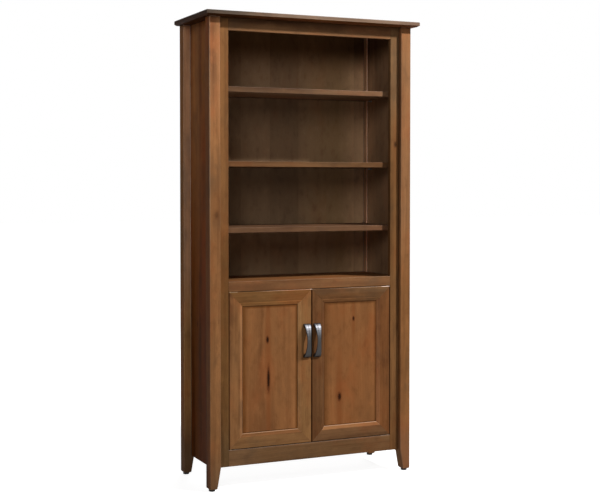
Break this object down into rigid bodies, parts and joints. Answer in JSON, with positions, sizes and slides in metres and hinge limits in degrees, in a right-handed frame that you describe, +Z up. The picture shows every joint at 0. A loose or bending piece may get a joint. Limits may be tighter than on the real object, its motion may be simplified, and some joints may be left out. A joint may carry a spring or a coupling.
{
  "type": "bookcase with cabinet doors",
  "caption": "Tall wooden bookcase with open shelves above a cabinet closed by inset frame-and-panel doors with arched strap pulls, on tapered legs.",
  "frame": {"origin": "centre of the overall box, on the floor", "axes": "+X to the right seen from the front, -Y towards the front with the doors, +Z up"},
  "size_m": [0.9144, 0.381, 1.8288],
  "materials": {
    "wood_frame": "satin lacquer over warm brown stain, knotty grain",
    "wood_panel": "satin lacquer over warm brown stain, knotty upright grain",
    "wood_shelf": "satin lacquer over warm brown stain",
    "pull": "dark brushed pewter",
    "hinge": "satin",
    "hardware": "zinc plated",
    "glide": "matte",
    "catch": "matte"
  },
  "bodies": {
    "case": {"back_panel": "wood_panel", "cabinet_bottom": "wood_shelf", "cabinet_deck": "wood_shelf", "cabinet_shelf": "wood_shelf", "catch_body": "catch", "frame_bottom_rail": "wood_frame", "frame_mid_rail": "wood_frame", "frame_top_rail": "wood_frame", "front_left_glide": "glide", "front_left_post": "wood_frame", "front_right_glide": "glide", "front_right_post": "wood_frame", "left_frame_stile": "wood_frame", "left_lower_frame_leaf": "hinge", "left_lower_shelf_front_pin": "hardware", "left_lower_shelf_rear_pin": "hardware", "left_middle_shelf_front_pin": "hardware", "left_middle_shelf_rear_pin": "hardware", "left_shelf_cleat": "wood_shelf", "left_side_panel": "wood_panel", "left_upper_frame_leaf": "hinge", "left_upper_shelf_front_pin": "hardware", "left_upper_shelf_rear_pin": "hardware", "lower_shelf": "wood_shelf", "middle_shelf": "wood_shelf", "rear_left_glide": "glide", "rear_left_post": "wood_frame", "rear_right_glide": "glide", "rear_right_post": "wood_frame", "right_frame_stile": "wood_frame", "right_lower_frame_leaf": "hinge", "right_lower_shelf_front_pin": "hardware", "right_lower_shelf_rear_pin": "hardware", "right_middle_shelf_front_pin": "hardware", "right_middle_shelf_rear_pin": "hardware", "right_shelf_cleat": "wood_shelf", "right_side_panel": "wood_panel", "right_upper_frame_leaf": "hinge", "right_upper_shelf_front_pin": "hardware", "right_upper_shelf_rear_pin": "hardware", "top_board": "wood_frame", "upper_shelf": "wood_shelf"},
    "left_door": {"left_door_bottom_rail": "wood_frame", "left_door_handle": "pull", "left_door_hinge_stile": "wood_frame", "left_door_lock_stile": "wood_frame", "left_door_lower_leaf": "hinge", "left_door_panel": "wood_panel", "left_door_strike": "hardware", "left_door_top_rail": "wood_frame", "left_door_upper_leaf": "hinge"},
    "right_door": {"right_door_bottom_rail": "wood_frame", "right_door_handle": "pull", "right_door_hinge_stile": "wood_frame", "right_door_lock_stile": "wood_frame", "right_door_lower_leaf": "hinge", "right_door_panel": "wood_panel", "right_door_strike": "hardware", "right_door_top_rail": "wood_frame", "right_door_upper_leaf": "hinge"}
  },
  "joints": [
    {"name": "left_door_hinge", "type": "hinge", "parent": "case", "child": "left_door", "pos_m": [-0.343, -0.1315, 0.4565], "axis": [0, 0, -1], "range_deg": [0, 105]},
    {"name": "right_door_hinge", "type": "hinge", "parent": "case", "child": "right_door", "pos_m": [0.343, -0.1315, 0.4565], "axis": [0, 0, 1], "range_deg": [0, 105]}
  ]
}
